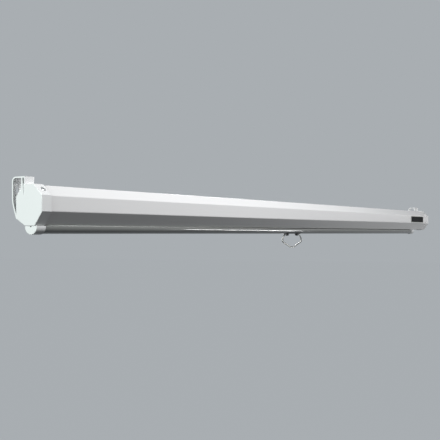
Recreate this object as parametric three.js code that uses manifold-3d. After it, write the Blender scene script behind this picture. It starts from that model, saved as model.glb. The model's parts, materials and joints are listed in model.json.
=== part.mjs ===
// Pull down projector screen: a white folded steel case with moulded end caps that carry
// the wall brackets, a spring roller with a self-locking ratchet head, and a half-round
// weight bar with a wire handle. The screen is shown wound up, with the bar closed on the case.
//
// Millimetres, +Z up. +Y points into the wall and the wall is the plane y = 0.
// x = 0 is midway along the case, and z = 0 is where the screws seat in the keyholes.

import * as THREE from 'three';
import { mergeVertices } from 'three/addons/utils/BufferGeometryUtils.js';
import Module from 'manifold-3d';

const wasm = await Module();
wasm.setup();

// Case: one folded steel sheet of eight flats, open along the bottom
const caseDepth = 61;
const caseHeight = 73;
const sheetThickness = 1.2;
const frontLowRun = 17.7;
const frontLowRise = 24.7;
const frontHighRun = 19.7;
const frontHighRise = 19.5;
const rearHighRun = 15.6;
const rearHighRise = 21.4;
const rearLowRun = 20.9;
const rearLowRise = 12.6;
const slotCentre = 28.8;
const slotWidth = 10;
const slotLipHeight = 5;
const wallGap = 11.7;
const hangHeight = 71.2;

// Clearances
const fitGap = 0.3;
const pinGap = 0.15;
const overrun = 1;

// End caps and the brackets moulded with them
const capPlate = 3;
const capSkirtLength = 25;
const capSkirtWall = 1.2;
const capBevel = 0.9;
const bracketWidth = 25;
const strapThickness = 2.8;
const bracketRise = 14.6;
const bracketCorner = 9;
const legFront = 31.8;
const legThickness = 2;
const ribRear = 22.9;
const ribThickness = 3;
const wedgeDepth = 1.8;
const wedgeReach = 20.8;
const plateStraight = 22;
const keyholeRadius = 5.25;
const keyholeSlotRadius = 2.5;
const keyholeDrop = 7;
const ceilingHoleRadius = 3.2;
const ceilingHoleBack = 15.5;
const screenNotchWidth = 14;
const screenSideGap = 1.2;
const bracketFoot = 12;
const bracketSides = 8;
const plateEaseShare = 0.3;
const plateLeanShare = 0.62;
const plateMergeShare = 0.2;

// Screws that hold the caps to the case
const capScrewInset = 15.5;
const capScrewHighShare = 0.45;
const capScrewLowShare = 0.5;
const screwHeadRadius = 4.2;
const screwHeadHeight = 2;
const screwShankRadius = 1.7;
const screwShankLength = 5;
const screwRecessRadius = 5.5;
const screwBossWidth = 11;
const screwBossDepth = 4.6;
const screwEdgeShare = 0.94;
const screwDomeShare = 0.5;
const crossWidth = 0.9;
const crossDepth = 1;
const crossReachShare = 0.45;

// Badge: a bare black panel in a pale frame
const badgeLength = 147;
const badgeHeight = 26.4;
const badgeThickness = 1.4;
const badgeRim = 2.4;
const badgePanelDepth = 0.6;
const badgePanelLow = 0.2;
const badgeCorner = 2;
const badgeCornerSteps = 4;
const badgeFromEnd = 138;

// Roller
const rollerFromFront = 28;
const rollerFromBottom = 39;
const tubeRadius = 17;
const tubeWall = 1;
const endFloat = 0.7;
const plugFlange = 1.2;
const plugSpigot = 30;
const gudgeonRadius = 3;
const gudgeonLength = 34;
const pinBevelShare = 0.15;
const bushWall = 2.2;
const bushSeat = 1.6;
const bushBossHeight = 4;
const bushBossWall = 2.5;

// Self-locking head of the roller
const spindleRadius = 4;
const tangThickness = 3;
const socketHeight = 8;
const socketRadius = 9;
const headCoverThickness = 0.8;
const headCoverHole = 6.5;
const headCupDepth = 9;
const headCupWall = 1.4;
const headFloor = 3.5;
const headBushWall = 1.6;
const headBushLength = 12;
const ratchetWidth = 6;
const ratchetShare = 0.3;
const notchDepthShare = 0.17;
const ratchetNotches = 2;
const ratchetSteps = 10;
const pawlPinShare = 0.6;
const toothGap = 0.5;
const pawlPinRadius = 1.6;
const pawlPinSeat = 2.4;
const pawlPinProud = 0.9;
const pawlWidth = 5;
const pawlSteps = 8;
const pawlArmShare = 0.3;
const pawlReachAngle = THREE.MathUtils.degToRad(48);
const pawlToothAngle = THREE.MathUtils.degToRad(10);
const notchWallAngle = THREE.MathUtils.degToRad(4);
const notchFloorAngle = THREE.MathUtils.degToRad(16);
const notchSlopeAngle = THREE.MathUtils.degToRad(10);

// Torsion spring round the spindle
const springRadius = 10;
const springWireRadius = 1.1;
const springCurls = 30;
const springPitch = 14;
const curlSteps = 8;
const curlSides = 5;
const spindleTail = 4;
const grippedCurls = 3;
const anchorFlange = 4;
const anchorRadius = 12.6;
const clipRadius = 6.2;
const clipThickness = 1;

// Screen cloth
const pictureWidth = 2032;
const pictureHeight = 1143;
const screenBorder = 29;
const clothThickness = 0.4;
const windings = 1.5;
const guideRise = 2;

// Weight bar and its end caps
const barOverhang = 6;
const barFromLeft = 3;
const barFromRight = 130;
const barRadius = 13.4;
const barSide = 1.1;
const barWall = 1.5;
const barStopGap = 0.3;
const keyRadius = 3.2;
const keySlotWidth = 2.6;
const hemRodRadius = 2.3;
const barCapPlate = 2.6;
const barCapWall = 1.1;
const barCapGap = 0.2;
const barCapSkirt = 32;
const barCapBevel = 0.8;
const barNotchWidth = 3;
const barNotchDepth = 2.2;
const barPlugDepth = 14;
const barPegRadius = 2;
const barPegDrop = 1;
const barSides = 20;
const hemInset = 4;
const screenShift = 1;

// Handle and the black clip it hangs from
const handleOffset = 9;
const clipHalfLength = 49;
const clipWrapAngle = THREE.MathUtils.degToRad(43);
const clipWall = 2.4;
const pivotDrop = 1.4;
const wireRadius = 1.9;
const earRadius = 4.2;
const earInner = 27;
const earOuter = 35;
const stubInner = 28.5;
const notchGap = 1.1;
const bailHalfWidth = 62.5;
const bailDrop = 36.6;
const bailStubShare = 0.746;
const bailShares = [
  [bailStubShare, 0, 0.11],
  [0.945, 0.26, 0.3],
  [1, 0.57, 0.14],
  [0.53, 0.81, 0.4],
  [0.165, 1, 0.2],
];
const wireSides = 10;
const wireSteps = 64;
const padHalfLength = 9;
const padHalfWidth = 4.5;
const clipScrewPlace = 15;
const clipScrewHeadRadius = 2.8;
const clipScrewHeadHeight = 1.4;
const clipScrewShankRadius = 1.2;
const clipScrewSunk = 2;
const clipScrewReach = 0.5;

// Places that follow from those sizes
const screenWidth = pictureWidth + 2 * screenBorder;
const barLength = screenWidth + 2 * barOverhang;
const caseLength = barFromLeft + barLength + barFromRight;
const leftEnd = -caseLength / 2;
const rightEnd = caseLength / 2;
const caseFront = -wallGap - caseDepth;
const caseRear = -wallGap;
const caseBottom = -hangHeight;
const caseTop = caseBottom + caseHeight;
const capGrowth = fitGap + capSkirtWall;
const capTop = caseTop + capGrowth;
const capBottom = caseBottom - capGrowth;
const strapTop = capTop + bracketRise;
const slotY = caseFront + slotCentre;
const rollerY = caseFront + rollerFromFront;
const rollerZ = caseBottom + rollerFromBottom;
const screenDrop = pictureHeight + 2 * screenBorder;
const woundLength = screenDrop + windings * 2 * Math.PI * tubeRadius;
const rollInner = tubeRadius + fitGap;
const rollOuter = Math.sqrt(rollInner * rollInner + (woundLength * clothThickness) / Math.PI);
const barTop = capBottom - barStopGap;
const barLeft = leftEnd + barFromLeft;
const barMiddle = barLeft + barLength / 2;
const screenLeft = barLeft + barOverhang + screenShift;
const screenRight = screenLeft + screenWidth;
const screenOffset = screenLeft + screenWidth / 2 - barMiddle;
const bushRadius = gudgeonRadius + pinGap + bushWall;
const tubeLeft = leftEnd + capPlate + bushBossHeight + endFloat + plugFlange + fitGap;
const headOuter = rightEnd - capPlate - socketHeight - endFloat - headCoverThickness - fitGap;
const headInner = headOuter - headCupDepth;
const tubeRight = headInner - headFloor - fitGap;
const headBore = spindleRadius + 2 * pinGap + headBushWall;
const lockRoom = tubeRadius - tubeWall - spindleRadius;
const ratchetRadius = spindleRadius + lockRoom * ratchetShare;
const ratchetNotchDepth = lockRoom * notchDepthShare;
const pawlPinCircle = spindleRadius + lockRoom * pawlPinShare;
const pawlEyeRadius = pawlPinCircle - ratchetRadius - toothGap;
const pawlArm = lockRoom * pawlArmShare;
const pawlTooth = pawlEyeRadius - pawlArm / 2;
const spigotLeft = tubeRight + fitGap - plugSpigot;
const springRight = spigotLeft - fitGap - springWireRadius;
const springLeft = springRight - springCurls * springPitch;
const hubRadius = springRadius * Math.cos(Math.PI / curlSteps) - springWireRadius - fitGap;
const hubLength = grippedCurls * springPitch;
const anchorLeft = springLeft - springWireRadius - fitGap - anchorFlange;
const spindleEnd = anchorLeft - fitGap - clipThickness - spindleTail;

// Geometry helpers

const xAxis = new THREE.Vector3(1, 0, 0);
const yAxis = new THREE.Vector3(0, 1, 0);
const zAxis = new THREE.Vector3(0, 0, 1);
const sectionToWorld = new THREE.Matrix4().makeBasis(yAxis, zAxis, xAxis);
const roundSides = 24;
const smallSides = 16;
const fewSides = 12;
const wideSides = 40;

function enclosedVolume(geometry) {
  const place = geometry.attributes.position;
  const corners = [new THREE.Vector3(), new THREE.Vector3(), new THREE.Vector3()];
  let total = 0;
  for (let i = 0; i < geometry.index.count; i += 3) {
    corners.forEach((corner, k) => corner.fromBufferAttribute(place, geometry.index.getX(i + k)));
    total += corners[0].dot(corners[1].cross(corners[2]));
  }
  return total;
}

// A closed body with shared corners, no empty triangles and its faces pointing out
function welded(geometry) {
  const bare = geometry.clone();
  bare.deleteAttribute('normal');
  bare.deleteAttribute('uv');
  const merged = mergeVertices(bare);
  const inward = enclosedVolume(merged) < 0;
  const kept = [];
  for (let i = 0; i < merged.index.count; i += 3) {
    const [a, b, c] = [0, 1, 2].map((k) => merged.index.getX(i + k));
    if (a !== b && b !== c && c !== a) {
      kept.push(a, ...(inward ? [c, b] : [b, c]));
    }
  }
  merged.setIndex(kept);
  merged.computeVertexNormals();
  return merged;
}

function solid(geometry) {
  const body = welded(geometry);
  return new wasm.Manifold(new wasm.Mesh({
    numProp: 3,
    vertProperties: new Float32Array(body.attributes.position.array),
    triVerts: new Uint32Array(body.index.array),
  }));
}

function geometryOf(body) {
  const mesh = body.getMesh();
  const geometry = new THREE.BufferGeometry();
  geometry.setAttribute('position', new THREE.BufferAttribute(mesh.vertProperties, 3));
  geometry.setIndex(new THREE.BufferAttribute(mesh.triVerts, 1));
  return geometry;
}

function joined(geometries) {
  return geometryOf(geometries.map(solid).reduce((all, next) => all.add(next)));
}

function cut(geometry, tools) {
  return geometryOf(tools.map(solid).reduce((left, tool) => left.subtract(tool), solid(geometry)));
}

function shapeOf(points) {
  return new THREE.Shape(points.map(([y, z]) => new THREE.Vector2(y, z)));
}

// A section drawn in y and z, drawn out along x
function prism(shape, from, to, curveSegments = smallSides) {
  const geometry = new THREE.ExtrudeGeometry(shape, { depth: to - from, bevelEnabled: false, curveSegments });
  geometry.applyMatrix4(sectionToWorld);
  geometry.translate(from, 0, 0);
  return geometry;
}

function block(low, high) {
  const size = high.map((value, i) => value - low[i]);
  const geometry = new THREE.BoxGeometry(...size);
  geometry.translate(...low.map((value, i) => value + size[i] / 2));
  return geometry;
}

// A round bar between two points
function rod(radius, from, to, sides = roundSides) {
  const start = new THREE.Vector3(...from);
  const along = new THREE.Vector3(...to).sub(start);
  const geometry = new THREE.CylinderGeometry(radius, radius, along.length(), sides);
  geometry.translate(0, along.length() / 2, 0);
  geometry.applyQuaternion(new THREE.Quaternion().setFromUnitVectors(yAxis, along.clone().normalize()));
  geometry.translate(...from);
  return geometry;
}

// A profile of [x, radius] turned about the x axis
function turned(profile, sides = roundSides) {
  const points = profile.map(([x, radius]) => new THREE.Vector2(radius, x));
  const geometry = new THREE.LatheGeometry(points, sides);
  geometry.rotateZ(-Math.PI / 2);
  return geometry;
}

function ring(from, to, inner, outer, sides = roundSides) {
  return turned([[from, inner], [to, inner], [to, outer], [from, outer], [from, inner]], sides);
}

function pin(from, to, radius, bevel, sides = roundSides) {
  return turned([
    [from, 0], [from, radius - bevel], [from + bevel, radius],
    [to - bevel, radius], [to, radius - bevel], [to, 0],
  ], sides);
}

// The same outline with every flat moved outwards by a distance
function grown(outline, distance) {
  return outline.map((corner, i) => {
    const before = outline[(i + outline.length - 1) % outline.length];
    const after = outline[(i + 1) % outline.length];
    const [a, b] = [outward(before, corner), outward(corner, after)];
    const stretch = distance / (1 + a[0] * b[0] + a[1] * b[1]);
    return [corner[0] + (a[0] + b[0]) * stretch, corner[1] + (a[1] + b[1]) * stretch];
  });
}

// The direction out of a flat of an outline that runs anticlockwise
function outward(from, to) {
  const length = Math.hypot(to[0] - from[0], to[1] - from[1]);
  return [(to[1] - from[1]) / length, (from[0] - to[0]) / length];
}

// The section of a bent sheet whose outer face follows a path, with the sheet on its right
function sheetSection(path, thickness) {
  const inner = path.map((corner, i) => {
    const a = outward(path[Math.max(i - 1, 0)], path[Math.max(i, 1)]);
    const b = outward(path[Math.min(i, path.length - 2)], path[Math.min(i + 1, path.length - 1)]);
    const stretch = thickness / (1 + a[0] * b[0] + a[1] * b[1]);
    return [corner[0] + (a[0] + b[0]) * stretch, corner[1] + (a[1] + b[1]) * stretch];
  });
  return shapeOf([...path, ...inner.reverse()]);
}

function finish(color, roughness, metalness) {
  return { color, roughness, metalness };
}

function add(group, name, geometry, look) {
  const mesh = new THREE.Mesh(welded(geometry), new THREE.MeshStandardMaterial(look));
  mesh.name = name;
  group.add(mesh);
  return mesh;
}

const whiteEnamel = finish(0xf0f1f2, 0.4, 0);
const whitePlastic = finish(0xe8ece9, 0.5, 0);
const zincSteel = finish(0xb9bcbd, 0.38, 1);
const springSteel = finish(0x8a8c8e, 0.35, 1);
const blackPlastic = finish(0x121313, 0.5, 0);
const paleBadge = finish(0xd9dad6, 0.4, 0);
const blackBadge = finish(0x08080a, 0.3, 0);
const bronze = finish(0xa0733c, 0.45, 1);
const greyPlastic = finish(0x7f8284, 0.55, 0);
const whiteAluminium = finish(0xe9ebec, 0.38, 0);
const screenCloth = finish(0x17181a, 0.85, 0);
const polishedWire = finish(0xc4c4c2, 0.22, 1);

// Case

// Corners of the case's section, anticlockwise from the front of the bottom flat
function caseOutline() {
  return [
    [caseFront + frontLowRun, caseBottom],
    [caseRear - rearLowRun, caseBottom],
    [caseRear, caseBottom + rearLowRise],
    [caseRear, caseTop - rearHighRise],
    [caseRear - rearHighRun, caseTop],
    [caseFront + frontHighRun, caseTop],
    [caseFront, caseTop - frontHighRise],
    [caseFront, caseBottom + frontLowRise],
  ];
}

// A place on a flat of the case, a share of the way from its upper to its lower edge
function placeOnFlat(upper, lower, share) {
  const y = THREE.MathUtils.lerp(upper[0], lower[0], share);
  const z = THREE.MathUtils.lerp(upper[1], lower[1], share);
  return { y, z, along: Math.atan2(lower[1] - upper[1], lower[0] - upper[0]) };
}

// Where each cap's two screws go, with the direction out of the flat
function capScrewPlaces() {
  const [, bottomRear, rearLow, , , topFront, frontHigh] = caseOutline();
  return [
    { ...placeOnFlat(topFront, frontHigh, capScrewHighShare), out: outward(topFront, frontHigh) },
    { ...placeOnFlat(rearLow, bottomRear, capScrewLowShare), out: outward(bottomRear, rearLow) },
  ];
}

function movedOut(place, distance) {
  return [place.y + place.out[0] * distance, place.z + place.out[1] * distance];
}

function screwHole(place, x, radius, inward, outwards) {
  return rod(radius, [x, ...movedOut(place, -inward)], [x, ...movedOut(place, outwards)], smallSides);
}

function caseShell() {
  const [bottomFront, bottomRear, rearLow, rearHigh, topRear, topFront, frontHigh, frontLow] = caseOutline();
  const lipTop = caseBottom + slotLipHeight;
  const path = [
    [slotY - slotWidth / 2, lipTop],
    [slotY - slotWidth / 2, caseBottom],
    bottomFront, frontLow, frontHigh, topFront, topRear, rearHigh, rearLow, bottomRear,
    [slotY + slotWidth / 2, caseBottom],
    [slotY + slotWidth / 2, lipTop],
  ];
  const from = leftEnd + capPlate + fitGap;
  const shell = prism(sheetSection(path, sheetThickness), from, -from);
  const holes = [leftEnd + capScrewInset, rightEnd - capScrewInset].flatMap((x) => (
    capScrewPlaces().map((place) => (
      screwHole(place, x, screwShankRadius + fitGap, sheetThickness + overrun, overrun)
    ))
  ));
  return cut(shell, holes);
}

// A pan-head screw along x, with a cross in its head and its seat at x = 0
function panScrew(length, shank, head, height) {
  const body = turned([
    [-length, 0], [-length + shank, shank], [fitGap, shank], [fitGap, head],
    [fitGap + height / 2, head * screwEdgeShare],
    [fitGap + height, head * screwDomeShare],
    [fitGap + height, 0],
  ], smallSides);
  const floor = fitGap + height - crossDepth;
  const reach = head * crossReachShare;
  const slots = [[crossWidth / 2, reach], [reach, crossWidth / 2]].map(([y, z]) => (
    block([floor, -y, -z], [fitGap + height + overrun, y, z])
  ));
  return cut(body, slots);
}

// End caps

function bracketSection() {
  const under = strapTop - strapThickness;
  const legBack = -legFront + legThickness;
  const ribFront = -ribRear - ribThickness;
  const foot = capTop - bracketFoot;
  const wedgeTip = capTop - wedgeReach;
  const footShare = (under - foot) / (under - wedgeTip);
  const turnZ = strapTop - bracketCorner;
  const merge = grown(caseOutline(), capGrowth)[2];
  const curve = -plateStraight - merge[1];
  const section = new THREE.Shape();
  section.moveTo(-legFront, foot);
  section.lineTo(-legFront, strapTop);
  section.lineTo(-bracketCorner, strapTop);
  section.absarc(-bracketCorner, turnZ, bracketCorner, Math.PI / 2, 0, true);
  section.lineTo(0, -plateStraight);
  section.bezierCurveTo(
    0, -plateStraight - curve * plateEaseShare,
    merge[0] * plateLeanShare, merge[1] + curve * plateEaseShare,
    merge[0], merge[1],
  );
  section.lineTo(merge[0] - strapThickness, merge[1]);
  section.lineTo(merge[0] - strapThickness, merge[1] + curve * plateMergeShare);
  section.lineTo(merge[0], merge[1] + curve * plateMergeShare);
  section.bezierCurveTo(
    merge[0] * plateLeanShare - strapThickness, merge[1] + curve * (plateMergeShare + plateEaseShare / 2),
    -strapThickness, -plateStraight - curve * plateEaseShare,
    -strapThickness, -plateStraight,
  );
  section.lineTo(-strapThickness, turnZ);
  section.absarc(-bracketCorner, turnZ, bracketCorner - strapThickness, 0, Math.PI / 2, false);
  section.lineTo(-ribRear, under);
  section.lineTo(-ribRear, foot);
  section.lineTo(THREE.MathUtils.lerp(ribFront, legBack, footShare), foot);
  section.lineTo(ribFront, under);
  section.lineTo(legBack, under);
  section.lineTo(legBack, foot);
  return section;
}

// The pocket between the bracket's leg and rib, which runs to a point on the end face
function wedgeSection() {
  const under = strapTop - strapThickness;
  return shapeOf([
    [-legFront + legThickness, under],
    [-ribRear - ribThickness, under],
    [-legFront + legThickness, capTop - wedgeReach],
  ]);
}

function keyhole(x) {
  const [near, far] = [-strapThickness - overrun, overrun];
  return [
    rod(keyholeRadius, [x, near, -keyholeDrop], [x, far, -keyholeDrop]),
    rod(keyholeSlotRadius, [x, near, 0], [x, far, 0], smallSides),
    block([x - keyholeSlotRadius, near, -keyholeDrop], [x + keyholeSlotRadius, far, 0]),
  ];
}

function screwBoss(place) {
  const along = [Math.cos(place.along), Math.sin(place.along)];
  const faces = [-(sheetThickness + fitGap), -(sheetThickness + fitGap + screwBossDepth)];
  const corners = [[0, -1], [1, -1], [1, 1], [0, 1]].map(([face, side]) => {
    const [y, z] = movedOut(place, faces[face]);
    const half = (side * screwBossWidth) / 2;
    return [y + along[0] * half, z + along[1] * half];
  });
  const from = leftEnd + capPlate / 2;
  return prism(shapeOf(corners), from, leftEnd + capScrewInset + screwBossWidth / 2);
}

// A prism along x with its edges bevelled at its low end
function bevelledPrism(shape, from, to, bevel, curveSegments) {
  const geometry = new THREE.ExtrudeGeometry(shape, {
    depth: to - from,
    bevelThickness: bevel,
    bevelSize: bevel,
    bevelOffset: -bevel,
    bevelSegments: 1,
    curveSegments,
  });
  geometry.applyMatrix4(sectionToWorld);
  geometry.translate(from + bevel, 0, 0);
  const reach = 2 * caseLength;
  return cut(geometry, [block([to, -reach, -reach], [to + 2 * bevel + overrun, reach, reach])]);
}

// The cap at the low end of x, without what it carries inside
function capBody() {
  const skirtEnd = leftEnd + capSkirtLength;
  const outline = shapeOf(grown(caseOutline(), capGrowth));
  const outer = bevelledPrism(outline, leftEnd, skirtEnd, capBevel);
  const bracket = prism(bracketSection(), leftEnd + capBevel / 2, leftEnd + bracketWidth, bracketSides);
  const hollow = prism(shapeOf(grown(caseOutline(), fitGap)), leftEnd + capPlate, skirtEnd + overrun);
  const wedge = prism(wedgeSection(), leftEnd - overrun, leftEnd + wedgeDepth);
  return cut(joined([outer, bracket]), [hollow, wedge]);
}

function atRoller(geometry) {
  return geometry.translate(0, rollerY, rollerZ);
}

// The boss and bore that hold the idle end's bush, and the way out for the screen
function idleSeat() {
  const boss = atRoller(rod(
    bushRadius + pinGap + bushBossWall,
    [leftEnd + capPlate / 2, 0, 0],
    [leftEnd + capPlate + bushBossHeight, 0, 0],
  ));
  const bore = atRoller(rod(
    bushRadius + pinGap,
    [leftEnd + capPlate - bushSeat, 0, 0],
    [leftEnd + capPlate + bushBossHeight + overrun, 0, 0],
  ));
  const half = screenNotchWidth / 2;
  const notch = block(
    [screenLeft - screenSideGap, slotY - half, capBottom - overrun],
    [leftEnd + capSkirtLength + overrun, slotY + half, caseBottom],
  );
  return { bosses: [boss], cuts: [bore, notch] };
}

// The boss whose slot keeps the flat end of the spindle from turning
function spindleSeat() {
  const boss = atRoller(rod(
    socketRadius,
    [leftEnd + capPlate / 2, 0, 0],
    [leftEnd + capPlate + socketHeight, 0, 0],
  ));
  const [halfWidth, halfHeight] = [spindleRadius + pinGap, tangThickness / 2 + pinGap];
  const slot = atRoller(block(
    [leftEnd + capPlate, -halfWidth, -halfHeight],
    [leftEnd + capPlate + socketHeight + overrun, halfWidth, halfHeight],
  ));
  return { bosses: [boss], cuts: [slot] };
}

function endCap(seat) {
  const middle = leftEnd + bracketWidth / 2;
  const screwX = leftEnd + capScrewInset;
  const places = capScrewPlaces();
  const filled = joined([capBody(), ...seat.bosses, ...places.map(screwBoss)]);
  const pilots = places.map((place) => (
    screwHole(place, screwX, screwShankRadius + pinGap, screwBossDepth + capGrowth + overrun, 0)
  ));
  const recesses = places.map((place) => screwHole(place, screwX, screwRecessRadius, 0, capGrowth + overrun));
  const ceilingHole = rod(
    ceilingHoleRadius,
    [middle, -ceilingHoleBack, strapTop - strapThickness - overrun],
    [middle, -ceilingHoleBack, strapTop + overrun],
    smallSides,
  );
  return cut(filled, [...seat.cuts, ...pilots, ...recesses, ...keyhole(middle), ceilingHole]);
}

function mirrored(geometry) {
  return welded(geometry.clone().scale(-1, 1, 1));
}

// Badge

function roundedRectangle(width, height, corner) {
  const [x, y] = [width / 2, height / 2];
  const shape = new THREE.Shape();
  shape.moveTo(-x + corner, -y);
  shape.lineTo(x - corner, -y);
  shape.absarc(x - corner, -y + corner, corner, -Math.PI / 2, 0, false);
  shape.lineTo(x, y - corner);
  shape.absarc(x - corner, y - corner, corner, 0, Math.PI / 2, false);
  shape.lineTo(-x + corner, y);
  shape.absarc(-x + corner, y - corner, corner, Math.PI / 2, Math.PI, false);
  shape.lineTo(-x, -y + corner);
  shape.absarc(-x + corner, -y + corner, corner, Math.PI, Math.PI * 1.5, false);
  return shape;
}

// A plate that faces the room, from one distance to another in front of the case
function facingPlate(shape, from, to) {
  const geometry = new THREE.ExtrudeGeometry(shape, {
    depth: to - from,
    bevelEnabled: false,
    curveSegments: badgeCornerSteps,
  });
  geometry.applyMatrix4(new THREE.Matrix4().makeBasis(xAxis, zAxis, yAxis.clone().negate()));
  return geometry.translate(0, -from, 0);
}

function badgeFrame() {
  const outer = roundedRectangle(badgeLength, badgeHeight, badgeCorner);
  const inner = roundedRectangle(badgeLength - 2 * badgeRim, badgeHeight - 2 * badgeRim, badgeCorner / 2);
  const floor = badgeThickness - badgePanelDepth - pinGap;
  return cut(facingPlate(outer, 0, badgeThickness), [facingPlate(inner, floor, badgeThickness + overrun)]);
}

function badgePanel() {
  const [length, height] = [badgeLength, badgeHeight].map((size) => size - 2 * (badgeRim + pinGap));
  const shape = roundedRectangle(length, height, badgeCorner / 2);
  return facingPlate(shape, badgeThickness - badgePanelDepth, badgeThickness - badgePanelLow);
}

// Roller

function idlePlug() {
  const bore = gudgeonRadius + pinGap;
  const spigot = tubeRadius - tubeWall - pinGap;
  const outer = tubeLeft - fitGap - plugFlange;
  return turned([
    [outer, bore], [outer, tubeRadius], [tubeLeft - fitGap, tubeRadius], [tubeLeft - fitGap, spigot],
    [tubeLeft + plugSpigot, spigot], [tubeLeft + plugSpigot, bore], [outer, bore],
  ], wideSides);
}

function gudgeonPin() {
  const from = leftEnd + capPlate - bushSeat + 2 * fitGap;
  return pin(from, from + gudgeonLength, gudgeonRadius, gudgeonRadius * pinBevelShare);
}

function pawlPlaces() {
  return Array.from({ length: ratchetNotches }, (_, i) => Math.PI / 2 + (i * 2 * Math.PI) / ratchetNotches);
}

function onPinCircle(angle) {
  return [pawlPinCircle * Math.cos(angle), pawlPinCircle * Math.sin(angle)];
}

// The cup that carries the pawls, with a spigot for the tube and a hub that the spring grips
function rollerHead() {
  const spigot = tubeRadius - tubeWall - pinGap;
  const flange = tubeRight + fitGap;
  const body = turned([
    [spigotLeft - hubLength, headBore], [spigotLeft - hubLength, hubRadius], [spigotLeft, hubRadius],
    [spigotLeft, spigot], [flange, spigot], [flange, tubeRadius], [headOuter, tubeRadius],
    [headOuter, tubeRadius - headCupWall], [headInner, tubeRadius - headCupWall],
    [headInner, headBore], [spigotLeft - hubLength, headBore],
  ], wideSides);
  return cut(body, pawlPlaces().map(onPinCircle).map(([y, z]) => (
    rod(pawlPinRadius + pinGap, [headInner - pawlPinSeat, y, z], [headInner + overrun, y, z], smallSides)
  )));
}

function headCover() {
  const from = headOuter + fitGap;
  return ring(from, from + headCoverThickness, headCoverHole, tubeRadius, wideSides);
}

function sector(inner, outer, from, to) {
  const shape = new THREE.Shape();
  shape.absarc(0, 0, outer, from, to, false);
  shape.absarc(0, 0, inner, to, from, true);
  return shape;
}

// A pawl about its own pin, with its hooked tooth reaching round the ratchet wheel
function pawl() {
  const inner = pawlPinCircle - pawlArm / 2;
  const arm = prism(sector(inner, inner + pawlArm, 0, pawlReachAngle), 0, pawlWidth, pawlSteps);
  const tooth = prism(
    sector(inner - pawlTooth, inner + pawlArm / 2, pawlReachAngle - pawlToothAngle, pawlReachAngle),
    0,
    pawlWidth,
    pawlSteps / 2,
  );
  const acrossPin = (radius, from, to) => (
    rod(radius, [from, pawlPinCircle, 0], [to, pawlPinCircle, 0], smallSides)
  );
  const eye = acrossPin(pawlEyeRadius, 0, pawlWidth);
  const bore = acrossPin(pawlPinRadius + pinGap, -overrun, pawlWidth + overrun);
  return cut(joined([arm, tooth, eye]), [bore]).translate(0, -pawlPinCircle, 0);
}

// The wheel that stays still: each notch has a steep wall for a tooth and a slope behind it
function ratchetWheel() {
  const floor = ratchetRadius - ratchetNotchDepth;
  const shape = new THREE.Shape();
  pawlPlaces().forEach((angle, i) => {
    const wall = angle + pawlReachAngle + notchWallAngle;
    const slope = wall - notchFloorAngle - notchSlopeAngle;
    if (i === 0) {
      shape.moveTo(ratchetRadius * Math.cos(slope), ratchetRadius * Math.sin(slope));
    }
    shape.absarc(0, 0, floor, wall - notchFloorAngle, wall, false);
    shape.absarc(0, 0, ratchetRadius, wall, slope + (2 * Math.PI) / ratchetNotches, false);
  });
  const bore = new THREE.Path();
  bore.absarc(0, 0, spindleRadius + pinGap, 0, 2 * Math.PI, true);
  shape.holes.push(bore);
  const from = headInner + 2 * fitGap;
  return prism(shape, from, from + ratchetWidth, ratchetSteps);
}

// The fixed collar that holds the other end of the spring
function springAnchor() {
  const bore = spindleRadius + pinGap;
  const flange = anchorLeft + anchorFlange;
  return turned([
    [anchorLeft, bore], [anchorLeft, anchorRadius], [flange, anchorRadius],
    [flange, hubRadius], [flange + hubLength, hubRadius], [flange + hubLength, bore], [anchorLeft, bore],
  ]);
}

function spindle() {
  const tip = rightEnd - capPlate - fitGap;
  const tangEnd = rightEnd - capPlate - socketHeight - fitGap;
  const half = spindleRadius + overrun;
  const sides = [[tangThickness / 2, half], [-half, -tangThickness / 2]].map(([low, high]) => (
    block([tangEnd, -half, low], [tip + overrun, half, high])
  ));
  return cut(pin(spindleEnd, tip, spindleRadius, spindleRadius * pinBevelShare), sides);
}

class Coil extends THREE.Curve {
  getPoint(t, target = new THREE.Vector3()) {
    const angle = t * springCurls * 2 * Math.PI;
    const x = THREE.MathUtils.lerp(springRight, springLeft, t);
    return target.set(x, springRadius * Math.cos(angle), springRadius * Math.sin(angle));
  }
}

function roundSection(radius, sides) {
  return shapeOf(Array.from({ length: sides }, (_, i) => {
    const angle = (i * 2 * Math.PI) / sides;
    return [radius * Math.cos(angle), radius * Math.sin(angle)];
  }));
}

// The least room between one curl of the spring and the next
function leastSpringGap() {
  const path = new Coil();
  const count = springCurls * curlSteps;
  const points = Array.from({ length: count + 1 }, (_, i) => path.getPoint(i / count));
  const apart = points.flatMap((point, i) => (
    points.slice(i + curlSteps / 2).map((other) => point.distanceTo(other))
  ));
  return Math.min(...apart) - 2 * springWireRadius;
}

function torsionSpring() {
  const path = new Coil();
  path.arcLengthDivisions = springCurls * curlSteps;
  return new THREE.ExtrudeGeometry(roundSection(springWireRadius, curlSides), {
    steps: springCurls * curlSteps,
    extrudePath: path,
  });
}

// Screen cloth

const guideZ = caseBottom + slotLipHeight + guideRise;

// The cloth's way from the back of the roll forward and down to the slot
function screenLead() {
  const clear = rollOuter + fitGap + clothThickness / 2;
  const [dy, dz] = [rollerY - slotY, rollerZ - guideZ];
  const apart = Math.hypot(dy, dz);
  const angle = Math.atan2(dz, dy) - Math.asin(clear / apart);
  const length = Math.sqrt(apart * apart - clear * clear);
  const along = [Math.cos(angle), Math.sin(angle)];
  const side = [-along[1], along[0]].map((value) => (value * clothThickness) / 2);
  const end = [slotY + along[0] * length, guideZ + along[1] * length];
  return prism(shapeOf([
    [slotY + side[0], guideZ + side[1]], [slotY - side[0], guideZ - side[1]],
    [end[0] - side[0], end[1] - side[1]], [end[0] + side[0], end[1] + side[1]],
  ]), screenLeft, screenRight);
}

// Weight bar, drawn with its flat top at z = 0 and its middle at y = 0

const keyZ = -barWall - Math.sqrt(keyRadius * keyRadius - (keySlotWidth * keySlotWidth) / 4);

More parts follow.
